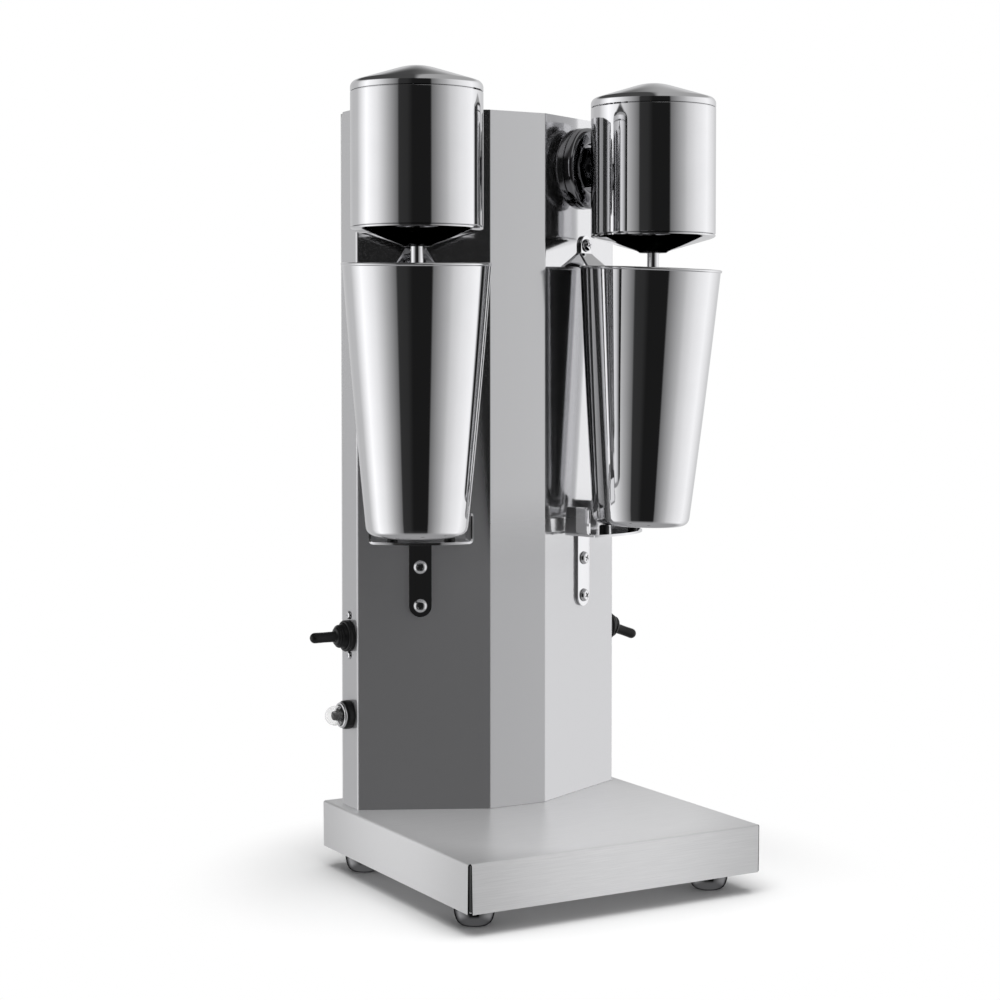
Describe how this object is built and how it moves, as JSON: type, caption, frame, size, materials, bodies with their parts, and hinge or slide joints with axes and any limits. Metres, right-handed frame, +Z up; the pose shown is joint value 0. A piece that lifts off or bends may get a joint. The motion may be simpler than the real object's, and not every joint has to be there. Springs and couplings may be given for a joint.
{
  "type": "milkshake mixer",
  "caption": "Double-head milkshake mixer: motor heads with spindles on a faceted steel column, cups hung on hooks and rests, side toggle switches, reset button and flat base.",
  "frame": {"origin": "on the table under the middle of the base, level with the bottom of the feet", "axes": "+Z up, -Y towards the front where the heads and cups stand, +X to the right"},
  "size_m": [0.2736, 0.207, 0.53],
  "materials": {
    "polished_steel": "mirror polished",
    "brushed_steel": "brushed",
    "plain_steel": "machined",
    "laminated_iron": "matte",
    "wound_core": "varnished",
    "bearing_bronze": "machined",
    "black_rubber": "satin",
    "black_plastic": "satin",
    "dark_plastic": "satin",
    "clear_plastic": "clear"
  },
  "bodies": {
    "stand": {"base_pan": "brushed_steel", "base_bottom_plate": "brushed_steel", "column_back_cover": "brushed_steel", "column_front_shell": "polished_steel", "column_top_cap": "polished_steel", "reset_bezel": "polished_steel", "foot_front_left": "polished_steel", "foot_front_right": "polished_steel", "foot_rear_left": "polished_steel", "foot_rear_right": "polished_steel", "cable_gland": "black_plastic", "head_flange_left": "polished_steel", "head_nut_left": "polished_steel", "motor_housing_left": "polished_steel", "motor_cap_left": "polished_steel", "motor_base_left": "polished_steel", "cup_hook_left": "polished_steel", "cup_rest_left": "polished_steel", "hook_screw_left": "polished_steel", "rest_screw_upper_left": "polished_steel", "rest_screw_lower_left": "polished_steel", "head_stub_left": "plain_steel", "motor_end_plate_left": "plain_steel", "motor_field_left": "laminated_iron", "upper_bearing_left": "bearing_bronze", "lower_bearing_left": "bearing_bronze", "switch_body_left": "black_plastic", "switch_collar_left": "black_rubber", "head_flange_right": "polished_steel", "head_nut_right": "polished_steel", "motor_housing_right": "polished_steel", "motor_cap_right": "polished_steel", "motor_base_right": "polished_steel", "cup_hook_right": "polished_steel", "cup_rest_right": "polished_steel", "hook_screw_right": "polished_steel", "rest_screw_upper_right": "polished_steel", "rest_screw_lower_right": "polished_steel", "head_stub_right": "plain_steel", "motor_end_plate_right": "plain_steel", "motor_field_right": "laminated_iron", "upper_bearing_right": "bearing_bronze", "lower_bearing_right": "bearing_bronze", "switch_body_right": "black_plastic", "switch_collar_right": "black_rubber", "reset_body": "black_plastic", "reset_collar": "black_plastic", "reset_cap": "clear_plastic"},
    "left_spindle": {"armature_left": "wound_core", "spindle_left": "polished_steel", "agitator_left": "polished_steel"},
    "left_cup": {"cup_left": "polished_steel"},
    "left_toggle": {"toggle_lever_left": "black_rubber"},
    "right_spindle": {"armature_right": "wound_core", "spindle_right": "polished_steel", "agitator_right": "polished_steel"},
    "right_cup": {"cup_right": "polished_steel"},
    "right_toggle": {"toggle_lever_right": "black_rubber"},
    "reset_plunger": {"reset_button": "dark_plastic"}
  },
  "joints": [
    {"name": "left_spindle_spin", "type": "hinge", "parent": "stand", "child": "left_spindle", "pos_m": [-0.08947, -0.00343, 0.4], "axis": [0, 0, 1], "continuous": true},
    {"name": "left_cup_swing", "type": "hinge", "parent": "stand", "child": "left_cup", "pos_m": [-0.06726, 0.04143, 0.40682], "axis": [-0.8961, 0.4438, 0], "range_deg": [0, 8]},
    {"name": "left_toggle_tilt", "type": "hinge", "parent": "stand", "child": "left_toggle", "pos_m": [-0.103, 0.07475, 0.1595], "axis": [0, 1, 0], "range_deg": [-20, 20]},
    {"name": "right_spindle_spin", "type": "hinge", "parent": "stand", "child": "right_spindle", "pos_m": [0.08947, -0.00343, 0.4], "axis": [0, 0, 1], "continuous": true},
    {"name": "right_cup_swing", "type": "hinge", "parent": "stand", "child": "right_cup", "pos_m": [0.06726, 0.04143, 0.40682], "axis": [-0.8961, -0.4438, 0], "range_deg": [0, 8]},
    {"name": "right_toggle_tilt", "type": "hinge", "parent": "stand", "child": "right_toggle", "pos_m": [0.103, 0.07475, 0.1537], "axis": [0, -1, 0], "range_deg": [0, 40]},
    {"name": "reset_press", "type": "slide", "parent": "stand", "child": "reset_plunger", "axis": [1, 0, 0], "range_m": [0, 0.002], "stiffness_N_per_m": 400}
  ]
}
